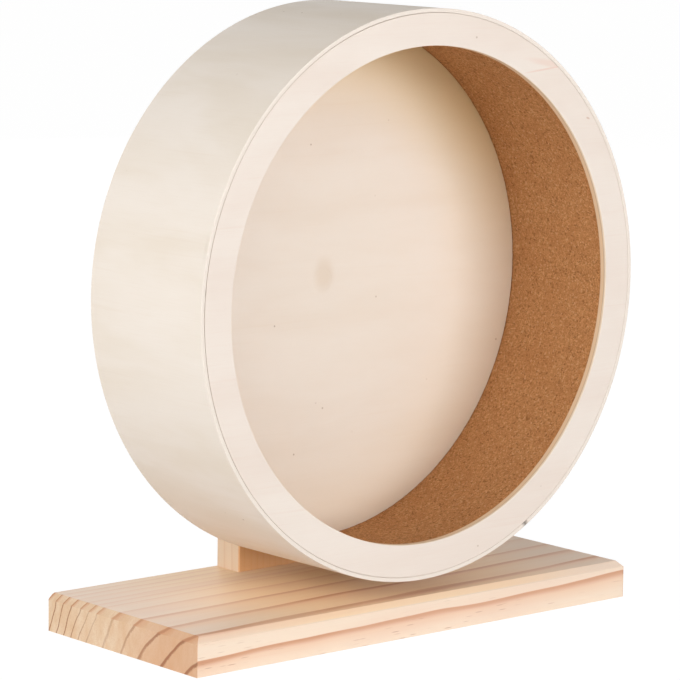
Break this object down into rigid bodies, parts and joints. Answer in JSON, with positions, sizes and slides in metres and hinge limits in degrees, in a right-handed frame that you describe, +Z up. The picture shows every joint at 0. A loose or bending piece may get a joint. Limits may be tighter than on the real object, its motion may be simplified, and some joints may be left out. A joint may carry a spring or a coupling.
{
  "type": "rodent exercise wheel",
  "caption": "Plywood drum wheel with a cork running track, open at the front, turning on ball bearings in front of an upright post on a pine base board.",
  "frame": {"origin": "under the middle of the base board, on the surface that it stands on", "axes": "+X across the wheel to the right as seen from its open side, +Y from the open side to the post behind, +Z up; the axle runs along Y"},
  "size_m": [0.281, 0.118, 0.308],
  "materials": {
    "skin_ply": "bare sanded poplar ply",
    "hoop_ply": "bare ply",
    "cork": "fine granulated cork",
    "ring_ply": "bare sanded poplar ply",
    "disc_ply": "bare sanded poplar ply",
    "hub_wood": "bare turned pine",
    "pine": "bare planed pine",
    "pine_post": "bare planed pine",
    "dowel_beech": "bare beech",
    "zinc_steel": "zinc plated",
    "bearing_steel": "ground bright steel",
    "shield_steel": "pressed sheet steel",
    "nylon": "natural nylon"
  },
  "bodies": {
    "stand": {"base_board": "pine", "upright_post": "pine_post", "post_screws": "zinc_steel", "post_dowels": "dowel_beech", "axle_bolt": "zinc_steel", "bolt_head_shim": "zinc_steel", "axle_spacer": "zinc_steel", "nut_washer": "zinc_steel", "lock_nut": "zinc_steel", "lock_nut_insert": "nylon", "front_bearing_inner_race": "bearing_steel", "rear_bearing_inner_race": "bearing_steel"},
    "wheel": {"outer_skin": "skin_ply", "inner_hoop": "hoop_ply", "cork_lining": "cork", "front_ring": "ring_ply", "back_disc": "disc_ply", "hub_plug": "disc_ply", "hub_block": "hub_wood", "hub_screws": "zinc_steel", "front_bearing_outer_race": "bearing_steel", "front_bearing_shields": "shield_steel", "rear_bearing_outer_race": "bearing_steel", "rear_bearing_shields": "shield_steel"},
    "ball_sets": {"front_bearing_balls": "bearing_steel", "front_bearing_cage": "nylon", "rear_bearing_balls": "bearing_steel", "rear_bearing_cage": "nylon"}
  },
  "joints": [
    {"name": "wheel_spin", "type": "hinge", "parent": "stand", "child": "wheel", "pos_m": [0, 0.0265, 0.168], "axis": [0, 1, 0], "continuous": true},
    {"name": "ball_set_spin", "type": "hinge", "parent": "stand", "child": "ball_sets", "pos_m": [0, 0.032, 0.168], "axis": [0, 1, 0], "continuous": true}
  ],
  "couplings": [
    {"joint": "ball_set_spin", "follows": "wheel_spin", "ratio": 0.64}
  ]
}
